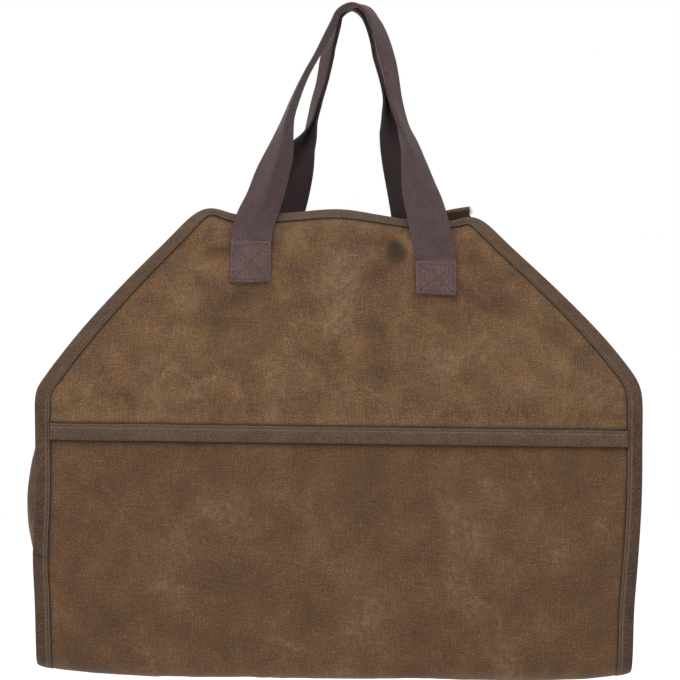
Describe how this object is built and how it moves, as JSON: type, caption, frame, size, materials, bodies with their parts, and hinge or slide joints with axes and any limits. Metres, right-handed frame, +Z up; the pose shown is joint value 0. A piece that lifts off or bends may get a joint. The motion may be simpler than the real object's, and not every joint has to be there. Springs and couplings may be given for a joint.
{
  "type": "canvas log carrier with webbing handles",
  "caption": "Soft canvas carrier for firewood: a sling body with folded end panels, taped edges and webbing handles, hanging empty by its grips.",
  "frame": {"origin": "the hang point: under the top of the handle arch, between the two grips", "axes": "+Z up, front towards -Y, +X to the right as the front is seen"},
  "size_m": [0.5765, 0.2036, 0.6432],
  "materials": {
    "canvas": "waxed brown canvas, matt with rubbed paler marks",
    "binding": "woven twill tape, matt grey-brown",
    "webbing": "heavy woven webbing, matt purple-brown"
  },
  "bodies": {
    "root": {"front_upper_panel": "canvas", "rear_upper_panel": "canvas", "body_sling": "canvas", "left_gusset": "canvas", "right_gusset": "canvas", "edge_binding_front": "binding", "edge_binding_rear": "binding", "front_cross_binding": "binding", "rear_cross_binding": "binding", "front_handle": "webbing", "rear_handle": "webbing"}
  },
  "joints": []
}
